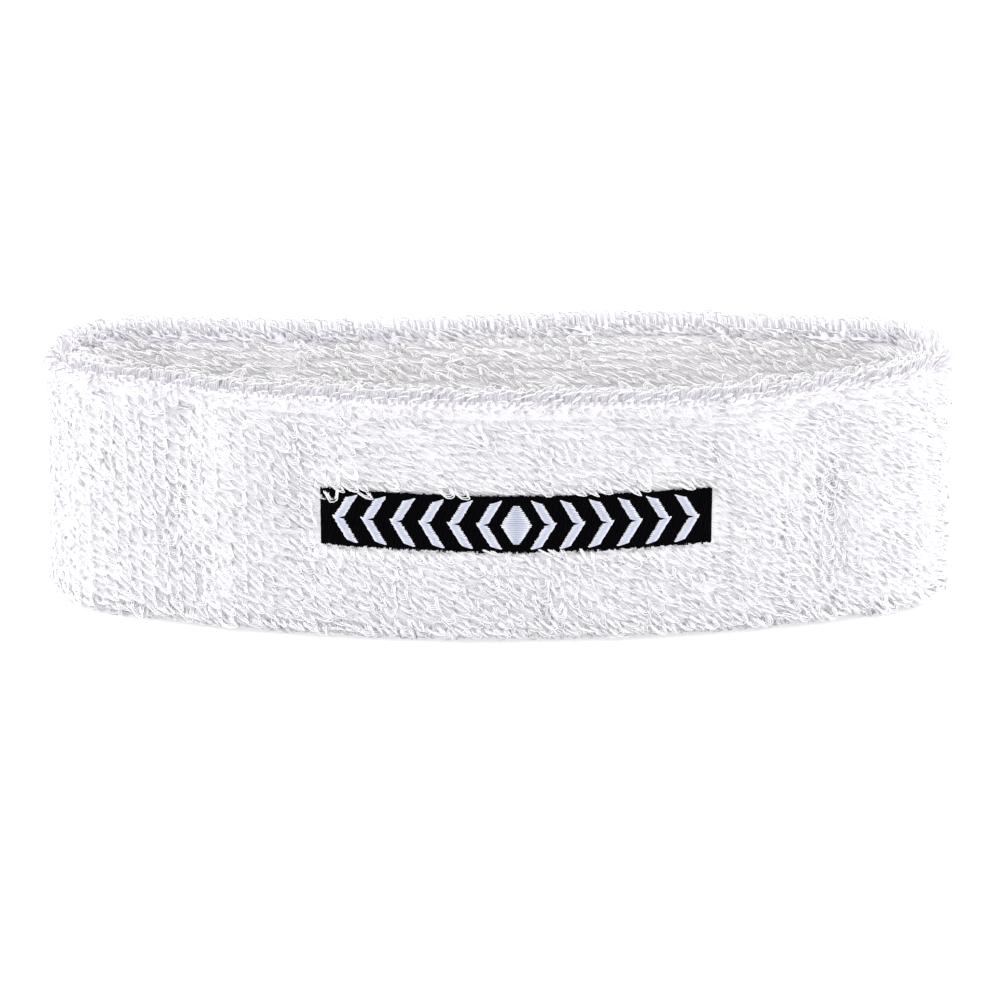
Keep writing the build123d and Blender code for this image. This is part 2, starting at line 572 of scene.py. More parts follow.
# Welt loops: a darker copy of the same cotton, painted shade, darker still at the roots.
WELT_COTTON_PAINTED_SHADE = YarnFinish(
    "welt_cotton_painted_shade", (0.60, 0.59, 0.625), (0.66, 0.655, 0.68), (0.60, 0.58, 0.63), glow=0.5
)
LINK_THREAD = YarnFinish("link_thread", (0.84, 0.84, 0.87), (0.95, 0.95, 0.97), (0.80, 0.79, 0.83))
# On the fill stitches the darker root colour is painted shade where they dive into the cloth; the plain
# layers, which carry no lift, take the root colour all over.
BLACK_THREAD = YarnFinish(
    "black_bed_yarn",
    (0.0008, 0.0008, 0.001),
    (0.003, 0.003, 0.004),
    (0.0005, 0.0005, 0.0006),
    roughness=0.8,
    sheen=0.0,
    shine=0.02,
)
# White satin thread painted with its light: the stitch middles are dark lavender-blue, painted shade,
# and the root colour at the stitch ends is a near-white painted highlight.
WHITE_SATIN = YarnFinish(
    "white_satin_yarn",
    (0.36, 0.385, 0.50),
    (0.47, 0.495, 0.60),
    (0.74, 0.74, 0.77),
    roughness=0.5,
    coat=0.08,
    bump=0.2,
)
ELASTIC = YarnFinish("elastic_yarn", (0.80, 0.79, 0.75), (0.93, 0.92, 0.88), (0.8, 0.79, 0.75))
BOBBIN = YarnFinish("bobbin_yarn", (0.8, 0.8, 0.82), (0.92, 0.92, 0.93), (0.7, 0.7, 0.72))
GROUND = KnitFinish(
    "ground_knit_cloth", (0.86, 0.84, 0.89), (0.98, 0.97, 0.985), SHAPE.wales, 58, bump=0.5
)
FLEECE = KnitFinish(
    "fleece_cloth", (0.78, 0.78, 0.77), (0.88, 0.88, 0.87), 90, 40, slant=60.0, bump=0.3, depth=0.1 * MM
)


# Making pieces
def add_object(name: str, data: bpy.types.ID) -> bpy.types.Object:
    """Put data in the scene as an object.

    Args:
        name: the object's name.
        data: its mesh, curve, light or camera.

    Returns:
        The object.
    """
    thing = bpy.data.objects.new(name, data)
    bpy.context.scene.collection.objects.link(thing)
    return thing


def adopt(piece: bpy.types.Object, slot: str, *nodes: str) -> bpy.types.Object:
    """Put a finished piece on the band's body and hide the CAD nodes that it stands for.

    Args:
        piece: the finished object.
        slot: the record's material slot; not used.
        *nodes: the CAD nodes that it stands for.

    Returns:
        The same piece.
    """
    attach(piece, BODY)
    if nodes:
        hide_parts(*nodes)
    log.info("%s: %d faces", piece.name, len(piece.data.polygons))
    return piece


@dataclass
class Strand:
    """One open length of yarn.

    Attributes:
        points: the places it passes through.
        lifts: for each point, 0 at its root to 1 where it stands furthest out; the finish's root
            colour, which paints light and shade at the roots, is mixed in by it.
        radius: half its thickness.
    """

    points: list[Vector]
    lifts: list[float]
    radius: float


def yarn_piece(name: str, strands: list[Strand], finish: YarnFinish) -> bpy.types.Object:
    """Turn strands into one mesh piece.

    Args:
        name: the piece's name.
        strands: what it is made of.
        finish: its material.

    Returns:
        The mesh object, not yet riding on a body.
    """
    curve = bpy.data.curves.new(name, "CURVE")
    curve.dimensions = "3D"
    curve.fill_mode = "FULL"
    curve.bevel_resolution = YARN_SIDES // 2 - 2
    curve.bevel_depth = 1.0
    curve.use_fill_caps = True
    for strand in strands:
        spline = curve.splines.new("POLY")
        count = len(strand.points)
        spline.points.add(count - 1)
        flat = [c for p in strand.points for c in (p.x, p.y, p.z, 1.0)]
        spline.points.foreach_set("co", flat)
        spline.points.foreach_set("radius", [strand.radius] * count)
    holder = add_object(name + "_curve", curve)
    graph = bpy.context.evaluated_depsgraph_get()
    mesh = bpy.data.meshes.new_from_object(holder.evaluated_get(graph))
    bpy.data.objects.remove(holder)
    bpy.data.curves.remove(curve)
    mesh.name = name
    # The lift values are the mask by which the finishes paint light and shade at the strands' roots.
    lift = mesh.attributes.new("lift", "FLOAT", "POINT")
    # The mesh lists the strands' end caps first, from the last strand back, and then their bodies.
    ends = [end for strand in reversed(strands) for end in (strand.lifts[-1], strand.lifts[0])]
    bodies = [value for strand in strands for value in strand.lifts]
    values = [value for value in ends + bodies for _ in range(YARN_SIDES)]
    if len(values) == len(mesh.vertices):
        lift.data.foreach_set("value", values)
    else:
        log.warning("%s: %d lifts for %d points", name, len(values), len(mesh.vertices))
    mesh.polygons.foreach_set("use_smooth", [True] * len(mesh.polygons))
    mesh.materials.clear()
    mesh.materials.append(finish.build())
    return add_object(name, mesh)


def rolled_grid(
    name: str,
    steps: tuple[int, int],
    place: Callable[[float, float], Vector],
    closed: tuple[bool, bool] = (False, False),
) -> bpy.types.Object:
    """Bend a flat grid into a sheet and close its edges where they meet.

    Args:
        name: the piece's name.
        steps: faces along the sheet's two directions.
        place: gives a point for two shares, from 0 to 1.
        closed: whether each direction meets itself.

    Returns:
        The mesh object, not yet riding on a body.
    """
    form = bmesh.new()
    form.loops.layers.uv.new("map")
    bmesh.ops.create_grid(
        form, x_segments=steps[0], y_segments=steps[1], size=0.5, calc_uvs=True
    )
    for vert in form.verts:
        vert.co = place(vert.co.x + 0.5, vert.co.y + 0.5)
    if any(closed):
        bmesh.ops.remove_doubles(form, verts=form.verts, dist=0.01 * MM)
    mesh = bpy.data.meshes.new(name)
    form.to_mesh(mesh)
    form.free()
    mesh.polygons.foreach_set("use_smooth", [True] * len(mesh.polygons))
    return add_object(name, mesh)


def thicken(piece: bpy.types.Object, thickness: float, finish: Finish) -> bpy.types.Object:
    """Give a sheet its thickness, inwards, and its finish.

    Args:
        piece: the sheet.
        thickness: how thick it becomes.
        finish: its material.

    Returns:
        The same piece.
    """
    solid = piece.modifiers.new("thickness", "SOLIDIFY")
    solid.thickness = thickness
    solid.offset = -1.0
    piece.data.materials.append(finish.build())
    return piece


# Terry loops
@dataclass(frozen=True)
class LoopStyle:
    """How one kind of terry loop is formed and lies.

    Attributes:
        width: between its legs.
        stand: how far it stands out of the knit before it bends over.
        fall: how far its tip lies from its legs.
        lay: degrees from straight down towards the right.
        spread: how much the lay differs from loop to loop, in degrees.
        curl: how far over the loop bends, in radians.
        tilt: degrees that it stands up towards the edge above it.
        twist: degrees that its legs stand one above the other.
        strands: parallel strands in the yarn.
        gap: from one strand to the next.
        radius: half a strand's thickness.
    """

    width: float
    stand: float
    fall: float
    lay: float = 48.0
    spread: float = 13.0
    curl: float = 2.5
    tilt: float = 0.0
    twist: float = 0.0
    strands: int = 3
    gap: float = 0.43 * MM
    radius: float = 0.125 * MM


FACE_LOOP = LoopStyle(2.6 * MM, 1.7 * MM, 2.7 * MM, 48.0, 11.0, 2.2)
HEAD_LOOP = LoopStyle(
    2.4 * MM, 1.6 * MM, 2.7 * MM, 52.0, 14.0, 2.2, gap=0.46 * MM, radius=0.14 * MM
)
FOLD_LOOP = LoopStyle(2.2 * MM, 1.9 * MM, 2.3 * MM, 50.0)
CREST_LOOP = LoopStyle(1.7 * MM, 2.8 * MM, 1.3 * MM, 80.0, 18.0, 1.7, 0.0, 12.0, 2, 0.5 * MM)
CURL_LOOP = LoopStyle(2.4 * MM, 2.1 * MM, 2.7 * MM, 52.0, 14.0, 2.2, 5.0, 25.0, 4, 0.46 * MM)
UPPER_LOOP = LoopStyle(2.6 * MM, 1.8 * MM, 2.8 * MM, 60.0, 14.0, 2.2, 0.0, 10.0, 4, 0.44 * MM)
SECOND_LOOP = LoopStyle(2.6 * MM, 1.8 * MM, 2.8 * MM, 56.0, 16.0, 2.2, 0.0, 5.0)

LOOP_SHARES = (0.0, 0.18, 0.35, 0.5, 0.65, 0.82, 1.0)
ROOT_DEPTH = 0.3 * MM
ROOT_LIFT = 0.1
TILT_SPREAD = 6
TWIST_SPREAD = 14
CURL_SPREAD = 0.15
SIZES = (0.85, 1.15)
GAPS = (0.8, 1.2)
THICKNESSES = (0.88, 1.1)
BIG_LOOP_CHANCE = 0.03
BIG_LOOP_SIZE = 1.3
NARROWING = 0.6
LOWERING = 0.25
ROUNDNESS = 0.75


def loop_strands(spot: Spot, style: LoopStyle, lay: float, rng: random.Random) -> list[Strand]:
    """Form one terry loop.

    Args:
        spot: where its legs leave the knit.
        style: its kind.
        lay: degrees from straight down towards the right, for this loop.
        rng: the source of its small differences.

    Returns:
        Its strands, outermost first.
    """
    lay = math.radians(lay + rng.gauss(0, style.spread))
    tilt = math.radians(style.tilt + rng.gauss(0, TILT_SPREAD))
    twist = math.radians(rng.gauss(style.twist, TWIST_SPREAD))
    rise = spot.out * math.cos(tilt) + spot.up * math.sin(tilt)
    wale = spot.up * math.cos(tilt) - spot.out * math.sin(tilt)
    fall_way = spot.along * math.sin(lay) - wale * math.cos(lay)
    across = spot.along * math.cos(twist) + wale * math.sin(twist)
    size = rng.uniform(*SIZES) * (BIG_LOOP_SIZE if rng.random() < BIG_LOOP_CHANCE else 1.0)
    curl = style.curl + rng.gauss(0, CURL_SPREAD)
    strands = []
    for number in range(style.strands):
        inside = number * style.gap * rng.uniform(*GAPS)
        width = style.width * size / 2 - inside * NARROWING
        fall = style.fall * size - inside
        stand = style.stand * size - inside * LOWERING
        thickness = style.radius * rng.uniform(*THICKNESSES)
        points = []
        lifts = []
        for share in LOOP_SHARES:
            turn = math.pi * share
            reach = math.sin(turn)
            aside = math.copysign(abs(math.cos(turn)) ** ROUNDNESS, share - 0.5) * width
            bent = curl * reach
            out = stand * math.sin(bent) if 0 < share < 1 else -ROOT_DEPTH
            away = fall * (1 - math.cos(bent)) / (1 - math.cos(curl))
            point = spot.point + rise * out + fall_way * away + across * aside
            point.z = max(point.z, thickness)
            points.append(point)
            lifts.append(min(1.0, ROOT_LIFT + reach))
        strands.append(Strand(points, lifts, thickness))
    return strands


def drift(share: float, level: float) -> float:
    """Find the slow change of the loops' lay over the cloth.

    Args:
        share: share of the way round the band.
        level: height above the floor, or a number that sets a row apart from the others.

    Returns:
        The change, from -1 to 1.
    """
    turn = 2 * math.pi * share
    slow = math.sin(9 * turn + 90 * level) + math.sin(23 * turn - 160 * level + 1.3)
    return (slow + math.sin(41 * turn + 60 * level + 4.0)) / 3


# The embroidered field
SHORTEST_STITCH = 0.3 * MM
# Lifts along a satin stitch: its ends take the root colour, a painted highlight, and its middle the
# darker painted shade.
SATIN_LIFTS = (0.0, 0.3, 0.8, 1.0, 0.8, 0.3, 0.0)
SATIN_SLOPE = 0.35
SMALLEST_SATIN = 0.25 * MM


@dataclass
class Embroidery:
    """Black fill with raised white chevrons, through the face of the band.

    Attributes:
        thread: half the thickness of the embroidery thread.
        fill_pitch: from one line of fill to the next.
        stitch: length of a fill stitch.
        offset: how far each line's stitches start after the last line's, as a share of a stitch.
        ragged: how far a line of fill may pass the field's edges.
        stitch_arch: how far a fill stitch arches.
        sway: how far a thread may lie aside.
        satin_pitch: from one satin stitch to the next.
        rise: how far a satin stitch arches out from its ends.
        padding: how far its ends stand out from the bed under the fill.
        overreach: how far it passes the stroke's edges at least.
        serration: how much further it may pass them.
        stroke: width of a satin stroke.
        pitch: from one chevron to the next.
        point: how far a chevron's point leads its ends.
        motif_height: height of the chevrons.
        per_side: chevrons on either side of the lozenge.
        lozenge: width of the lozenge.
        stand: how far the fill stands out of the cloth under the loops.
    """

    thread: float = 0.2 * MM
    fill_pitch: float = 0.36 * MM
    stitch: float = 3.4 * MM
    offset: float = 0.37
    ragged: float = 0.45 * MM
    stitch_arch: float = 0.14 * MM
    sway: float = 0.03 * MM
    satin_pitch: float = 0.37 * MM
    rise: float = 0.42 * MM
    padding: float = 0.12 * MM
    overreach: float = 0.04 * MM
    serration: float = 0.16 * MM
    stroke: float = 1.9 * MM
    pitch: float = 5.5 * MM
    point: float = 2.6 * MM
    motif_height: float = 8.8 * MM
    per_side: int = 6
    lozenge: float = 5.6 * MM
    stand: float = 1.05 * MM

    def __post_init__(self) -> None:
        """Take the field's place from the frame."""
        low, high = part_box("embroidery_field")
        self.low, self.high = low[2], high[2]
        self.centre = (low[0] + high[0]) / 2
        self.half_width = (high[0] - low[0]) / 2
        self.middle = (self.low + self.high) / 2
        self.field_inset = SHAPE.pile - self.stand
        self.rng = random.Random(11)

    def covers(self, spot: Spot, margin: float) -> bool:
        """Return whether a place on the face lies within the field and a margin."""
        beside = abs(spot.point.x - self.centre) < self.half_width + margin
        return beside and self.low - margin < spot.point.z < self.high + margin and spot.point.y < 0

    def on_face(self, x: float, z: float, inset: float) -> Vector:
        """Find the point over a place of the flat pattern.

        Args:
            x: distance from the pattern's middle, along the cloth.
            z: height above the floor.
            inset: distance in from the outer face.

        Returns:
            The point on the bent cloth.
        """
        return SHAPE.spot((self.centre + x) / SHAPE.girth(inset), inset, z).point

    def layer(
        self,
        name: str,
        inset: float,
        margin: float,
        steps: tuple[int, int],
        thickness: float,
        finish: Finish,
    ) -> bpy.types.Object:
        """Bend a plain layer of the field's outline to the cloth.

        Args:
            name: the piece's name.
            inset: distance of its outer side in from the band's outer face.
            margin: how far it reaches past the field, negative where it stays within.
            steps: faces along it and up it.
            thickness: how thick it is.
            finish: its material.

        Returns:
            The piece, not yet riding on a body.
        """
        low, high = self.low - margin, self.high + margin
        half = self.half_width + margin

        def place(across: float, up: float) -> Vector:
            """Return the layer's point for two shares."""
            return self.on_face((across * 2 - 1) * half, low + up * (high - low), inset)

        return thicken(rolled_grid(name, steps, place), thickness, finish)

    def fill_strands(self) -> list[Strand]:
        """Lay the field's black lines, up and down, in offset stitches.

        Returns:
            The stitches, line by line.
        """
        strands = []
        lines = round(2 * self.half_width / self.fill_pitch)
        for line in range(lines):
            x = (line + 0.5) * self.fill_pitch - self.half_width
            z = self.low - self.rng.uniform(0, self.ragged)
            shift = (line * self.offset % 1) * self.stitch
            top = self.high + self.rng.uniform(0, self.ragged)
            while z < top - SHORTEST_STITCH:
                end = min(z + (shift or self.stitch), top)
                shift = self.stitch
                points = []
                for share in (0.0, 0.12, 0.5, 0.88, 1.0):
                    inset = self.field_inset - math.sin(math.pi * share) * self.stitch_arch
                    aside = self.rng.uniform(-self.sway, self.sway)
                    points.append(self.on_face(x + aside, z + share * (end - z), inset))
                strands.append(Strand(points, [0.2, 0.8, 1.0, 0.8, 0.2], self.thread))
                z = end
        return strands

    def chevron_edges(self, index: int, side: int, z: float) -> tuple[float, float]:
        """Find a chevron's two edges at a height.

        Args:
            index: which chevron, counted outwards from the lozenge.
            side: 1 to the right of the lozenge, -1 to the left.
            z: the height.

        Returns:
            Both distances from the pattern's middle, the left one first.
        """
        first = (self.lozenge + self.pitch) / 2
        reach = abs(z - self.middle) / (self.motif_height / 2)
        near = side * (first + index * self.pitch - self.point * reach)
        far = near + side * self.stroke
        return min(near, far), max(near, far)

    def satin_stitch(self, left: float, right: float, z: float, slope: float) -> Strand:
        """Arch one satin stitch over a stroke.

        Args:
            left: the stroke's left edge.
            right: its right edge.
            z: height of the stitch's middle.
            slope: its rise along the cloth, 1 for 45 degrees.

        Returns:
            The stitch.
        """
        points = []
        spread = (right - left) / 2
        middle = (left + right) / 2
        arch = min(1.0, (right - left) / self.stroke)
        over = self.overreach + self.rng.uniform(0, self.serration)
        for step in range(len(SATIN_LIFTS)):
            turn = math.pi * step / (len(SATIN_LIFTS) - 1)
            x = middle - math.cos(turn) * (spread + over)
            height = self.rise * arch * math.sin(turn) ** 0.6
            tilt = -math.cos(turn) * spread * slope
            points.append(self.on_face(x, z + tilt, self.field_inset - self.padding - height))
        return Strand(points, list(SATIN_LIFTS), self.thread * self.rng.uniform(0.85, 1.0))

    def motif_strands(self) -> list[Strand]:
        """Cover each chevron and the lozenge with satin stitches.

        Returns:
            The stitches, from the bottom up.
        """
        strands = []
        rows = round(self.motif_height / self.satin_pitch)
        for row in range(rows + 1):
            z = self.middle + (row / rows - 0.5) * self.motif_height
            reach = abs(z - self.middle) / (self.motif_height / 2)
            half = self.lozenge / 2 * (1 - reach)
            if half > SMALLEST_SATIN:
                strands.append(self.satin_stitch(-half, half, z, 0.0))
            for side in (-1, 1):
                slope = side * math.copysign(SATIN_SLOPE, self.middle - z)
                for index in range(self.per_side):
                    left, right = self.chevron_edges(index, side, z)
                    aside = self.rng.uniform(-self.sway, self.sway)
                    strands.append(self.satin_stitch(left, right, z + aside, slope))
        return strands

    def build(self) -> list[bpy.types.Object]:
        """Make every layer of the embroidery, from the core outwards.

        Returns:
            The pieces.
        """
        core = SHAPE.pile + 0.85 * MM
        under = SHAPE.pile - 0.45 * MM
        backing = self.layer("embroidery_backing_fleece", core, 3 * MM, (96, 16), 0.2 * MM, FLEECE)
        bobbin = self.layer("bobbin_layer", core + 0.3 * MM, 0, (90, 12), 0.12 * MM, BOBBIN)
        first = self.layer("underlay_layer", under, -0.8 * MM, (90, 12), 0.25 * MM, BLACK_THREAD)
        bed = self.layer("fill_bed", self.field_inset, 0, (120, 16), 0.5 * MM, BLACK_THREAD)
        fill = yarn_piece("black_fill_stitches", self.fill_strands(), BLACK_THREAD)
        satin = yarn_piece("white_chevron_stitches", self.motif_strands(), WHITE_SATIN)
        return [
            adopt(backing, "backing_fleece", "embroidery_backing"),
            adopt(bobbin, "bobbin_thread", "bobbin_stitches"),
            adopt(first, "black_thread", "embroidery_underlay"),
            adopt(bed, "black_thread"),
            adopt(fill, "black_thread", "embroidery_field"),
            adopt(satin, "white_satin_thread", "embroidery_motif"),
        ]


# The knit
@dataclass
class GroundKnit:
    """The knitted tube, folded double, without its loops.

    Attributes:
        thickness: of one ply.
        around: faces round the band.
        across: faces round the section.
    """

    thickness: float = 0.6 * MM
    around: int = 360
    across: int = 80

    def section(self, share: float) -> tuple[float, float]:
        """Follow the folded section, up the face and down the head side.

        Args:
            share: share of the way round the section.

        Returns:
            The inset and the height above the floor.
        """
        half = SHAPE.wall / 2 - SHAPE.pile
        low = SHAPE.pile + half
        high = SHAPE.height - SHAPE.pile - half
        straight = high - low
        bend = math.pi * half
        run = (share % 1.0) * 2 * (straight + bend)
        middle = SHAPE.wall / 2
        if run < straight:
            level = low + run
            return middle - half + self.pinch(level), level
        run -= straight
        if run < bend:
            turn = run / half
            return middle - half * math.cos(turn), high + half * math.sin(turn)
        run -= bend
        if run < straight:
            level = high - run
            return middle + half - self.pinch(level), level
        turn = (run - straight) / half
        return middle + half * math.cos(turn), low - half * math.sin(turn)

    def pinch(self, level: float) -> float:
        """Return how far the linking seam draws a ply in at a height."""
        return SHAPE.seam_pinch * math.exp(-(((level - SHAPE.seam_level) / SHAPE.seam_width) ** 2))

    def build(self) -> bpy.types.Object:
        """Make the tube and close it on itself both ways.

        Returns:
            The tube, which is the sheet.
        """

        def place(around: float, across: float) -> Vector:
            """Return the tube's point for two shares."""
            inset, level = self.section(across)
            return SHAPE.spot(around, inset, level).point

        tube = rolled_grid("ground_knit_tube", (self.around, self.across), place, (True, True))
        thicken(tube, self.thickness, GROUND)
        return adopt(tube, "ground_knit", "face_ply", "head_ply", "bottom_fold", "top_turn")


FIELD_CLEARANCE = 0.3 * MM
WELT_PLAN = (
    (18.0, CURL_LOOP, 1),
    (48.0, CREST_LOOP, 1),
    (72.0, CREST_LOOP, 2),
    (110.0, CREST_LOOP, 1),
    (145.0, HEAD_LOOP, 1),
    (178.0, HEAD_LOOP, 1),
)
FOLD_PLAN = tuple((angle, FOLD_LOOP, 1) for angle in (12.0, 45.0, 80.0, 115.0, 150.0))


@dataclass
class TerryPile:
    """All the loops, row by row, on both sides and over both edges.

    Attributes:
        field: the embroidery, where no loops stand.
        face_courses: rows of loops on the face.
        head_courses: rows of loops on the head side.
        seed: starts the small differences from loop to loop.
        combs: where the face's loops lie further to the right, or less far.
        wander: how far a loop stands from its wale, as a share of a wale.
        unevenness: how far it stands above or below its row.
        wall_drift: how many degrees the lay changes slowly over the walls.
        edge_wander: how far a loop on an edge stands from its place, as a share of a loop.
        edge_unevenness: how many degrees it stands out of its row round the edge.
        edge_drift: how many degrees the lay changes slowly along the edges.
    """

    field: Embroidery
    face_courses: int = 28
    head_courses: int = 27
    seed: int = 7
    combs: tuple[Patch, ...] = (
        Patch(-62 * MM, 14 * MM, -14.0, 26 * MM, 24 * MM),
        Patch(9 * MM, 6 * MM, -48.0, 11 * MM, 5 * MM),
        Patch(-12 * MM, 16 * MM, 14.0, 37 * MM, 7 * MM),
        Patch(62 * MM, 7 * MM, -24.0, 24 * MM, 14 * MM),
        Patch(-33 * MM, 4 * MM, -26.0, 27 * MM, 9 * MM),
    )
    wander: float = 0.14
    unevenness: float = 0.2 * MM
    wall_drift: float = 16.0
    edge_wander: float = 0.2
    edge_unevenness: float = 5.0
    edge_drift: float = 12.0

    def __post_init__(self) -> None:
        """Set the levels that the rows lie between."""
        self.rng = random.Random(self.seed)
        self.bend = SHAPE.wall / 2 - SHAPE.pile
        self.low = SHAPE.pile + self.bend
        self.high = SHAPE.height - SHAPE.pile - self.bend

    def edge_spot(self, share: float, angle: float, top: bool) -> Spot:
        """Find a place on the rolled welt or the fold.

        Args:
            share: share of the way round the band.
            angle: degrees round the edge, 0 at the face and 180 at the head side.
            top: the welt, or else the fold.

        Returns:
            The place, facing out of the edge.
        """
        turn = math.radians(angle)
        sign = 1 if top else -1
        inset = SHAPE.wall / 2 - self.bend * math.cos(turn)
        level = (self.high if top else self.low) + sign * self.bend * math.sin(turn)
        flat = SHAPE.spot(share, inset, level)
        out = flat.out * math.cos(turn) + UP * sign * math.sin(turn)
        up = UP * math.cos(turn) - flat.out * sign * math.sin(turn)
        return Spot(flat.point, out, flat.along, up)

    def wall_rows(self, side: Side) -> list[list[list[Strand]]]:
        """Form the rows of the face or of the head side.

        Args:
            side: which of them.

        Returns:
            For each row, the strands of each of its loops.
        """
        face = side is Side.FACE
        inset = SHAPE.pile if face else SHAPE.wall - SHAPE.pile
        courses = self.face_courses if face else self.head_courses
        usual = FACE_LOOP if face else HEAD_LOOP
        top = SHAPE.seam_level - SHAPE.seam_width
        pitch = (top - self.low) / (courses - 1)
        rows = []
        for course in range(courses):
            level = top - course * pitch
            style = (UPPER_LOOP, SECOND_LOOP)[course] if face and course < 2 else usual
            row = []
            for wale in range(SHAPE.wales):
                share = (wale + self.rng.uniform(-self.wander, self.wander)) / SHAPE.wales
                z = level + self.rng.uniform(-self.unevenness, self.unevenness)
                spot = SHAPE.spot(share, inset, z, side)
                lay = style.lay + self.wall_drift * drift(share, level)
                if face and spot.point.y < 0:
                    lay += sum(comb.at(spot.point.x, level) for comb in self.combs)
                if face and self.field.covers(spot, FIELD_CLEARANCE):
                    row.append([])
                    continue
                row.append(loop_strands(spot, style, lay, self.rng))
            rows.append(row)
        return rows

    def edge_rows(self, top: bool, plan: tuple[tuple[float, LoopStyle, int], ...]) -> list[Strand]:
        """Form the rows over the welt or round the fold.

        Args:
            top: the welt, or else the fold.
            plan: for each row its angle, its kind and its loops per wale.

        Returns:
            All the strands.
        """
        strands = []
        for angle, style, per_wale in plan:
            count = SHAPE.wales * per_wale
            for number in range(count):
                share = (number + self.rng.uniform(-self.edge_wander, self.edge_wander)) / count
                turn = angle + self.rng.uniform(-self.edge_unevenness, self.edge_unevenness)
                spot = self.edge_spot(share, turn, top)
                lay = style.lay + self.edge_drift * drift(share, angle * MM)
                strands += loop_strands(spot, style, lay, self.rng)
        return strands

    def wall_pieces(self, side: Side, finish: YarnFinish) -> list[bpy.types.Object]:
        """Make one side's loops, a quarter of the way round to a piece.

        Args:
            side: the face or the head side.
            finish: the loops' material.

        Returns:
            The pieces.
        """
        name = side.name.lower()
        parts: list[list[Strand]] = [[] for _ in QUARTERS]
        for row in self.wall_rows(side):
            for wale, loop in enumerate(row):
                parts[wale * len(QUARTERS) // len(row)] += loop
        return [
            adopt(yarn_piece(f"{name}_loops_{quarter}", part, finish), "terry_loops", f"{name}_pile")
            for quarter, part in zip(QUARTERS, parts)
        ]

    def build(self) -> list[bpy.types.Object]:
        """Make the pile in pieces of a size that any program can hold.

        Returns:
            The pieces.
        """
        pieces = self.wall_pieces(Side.FACE, COTTON) + self.wall_pieces(Side.HEAD, HEAD_COTTON_PAINTED_LIGHT)
        welt = self.edge_rows(True, WELT_PLAN)
        half = len(welt) // 2
        for name, strands in (("welt_loops_face", welt[:half]), ("welt_loops_head", welt[half:])):
            pieces.append(adopt(yarn_piece(name, strands, WELT_COTTON_PAINTED_SHADE), "terry_loops", "welt_pile"))
        fold = yarn_piece("fold_loops", self.edge_rows(False, FOLD_PLAN), COTTON)
        pieces.append(adopt(fold, "terry_loops", "fold_pile"))
        return pieces


@dataclass
class Core:
    """What lies between the plies: turned-in edges and elastic threads.

    Attributes:
        hem_depth: how far the raw edges reach down.
        threads: elastic threads.
        thread: half the thickness of one.
        hem_thickness: of a turned-in edge.
        thread_depth: from the head side's ground to the threads' middles.
        steps: straight lengths in one round of thread.
    """

    hem_depth: float = 7.0 * MM
    threads: int = 9
    thread: float = 0.28 * MM
    hem_thickness: float = 0.5 * MM
    thread_depth: float = 1.15 * MM
    steps: int = 240

    def hem(self, name: str, node: str, inset: float) -> bpy.types.Object:
        """Hang one turned-in edge from the turn at the top.

        Args:
            name: the piece's name.
            node: the CAD node that it stands for.
            inset: distance of its outer side in from the band's outer face.

        Returns:
            The piece.
        """
        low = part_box(node)[0][2]

        def place(around: float, up: float) -> Vector:
            """Return the hem's point for two shares."""
            return SHAPE.spot(around, inset, low + up * self.hem_depth).point

        hem = rolled_grid(name, (240, 5), place, (True, False))
        return adopt(thicken(hem, self.hem_thickness, GROUND), "ground_knit", node)

    def elastic(self) -> bpy.types.Object:
        """Lay the covered elastic round inside the band.

        Returns:
            All the threads, as one piece.
        """
        low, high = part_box("elastic_threads")
        inset = SHAPE.wall - SHAPE.pile - self.thread_depth
        shares = [step / self.steps for step in range(self.steps + 1)]
        strands = []
        for thread in range(self.threads):
            share = thread / (self.threads - 1)
            level = low[2] + self.thread + share * (high[2] - low[2] - 2 * self.thread)
            points = [SHAPE.spot(around, inset, level).point for around in shares]
            strands.append(Strand(points, [1.0] * len(points), self.thread))
        piece = yarn_piece("elastic_thread_rings", strands, ELASTIC)
        return adopt(piece, "covered_elastic", "elastic_threads")

    def build(self) -> list[bpy.types.Object]:
        """Make the hems and the elastic threads.

        Returns:
            The pieces.
        """
        middle = SHAPE.wall / 2
        return [
            self.hem("face_hem_strip", "face_hem", middle - 0.6 * MM),
            self.hem("head_hem_strip", "head_hem", middle + 0.1 * MM),
            self.elastic(),
        ]


@dataclass
class LinkingSeam:
    """The seam that closes the tube, one slanting stitch for each wale.

    Attributes:
        thread: half the thickness of the thread.
        reach: length of a stitch along the band.
        slant: how much it rises over that length.
        arch: how far it stands out in its middle.
        steps: straight lengths in a stitch.
    """

    thread: float = 0.2 * MM
    reach: float = 2.3 * MM
    slant: float = 0.5 * MM
    arch: float = 0.15 * MM
    steps: int = 6

    def row(self, side: Side) -> list[Strand]:
        """Lay the stitches of one side of the seam.

        Args:
            side: the face or the head side.

        Returns:
            The stitches, one for each wale.
        """
        depth = SHAPE.pile + SHAPE.seam_pinch
        inset = depth if side is Side.FACE else SHAPE.wall - depth
        strands = []
        for wale in range(SHAPE.wales):
            points = []
            for step in range(self.steps + 1):
                share = step / self.steps
                along = wale / SHAPE.wales + (share - 0.5) * self.reach / SHAPE.girth(inset)
                level = SHAPE.seam_level + (share - 0.5) * self.slant
                spot = SHAPE.spot(along, inset, level, side)
                points.append(spot.point + spot.out * math.sin(math.pi * share) * self.arch)
            strands.append(Strand(points, [0.4] * len(points), self.thread))
        return strands

    def build(self) -> list[bpy.types.Object]:
        """Make the seam on both sides.

        Returns:
            The two rows of stitches.
        """
        pieces = []
        for side in Side:
            name = side.name.lower()
            seam = yarn_piece(f"linking_seam_{name}", self.row(side), LINK_THREAD)
            pieces.append(adopt(seam, "linking_thread", f"linking_stitches_{name}"))
        return pieces


# The studio
BOX_AIM = Vector((0, 0, 0.02))
FLOOR_SIZE = 4.0


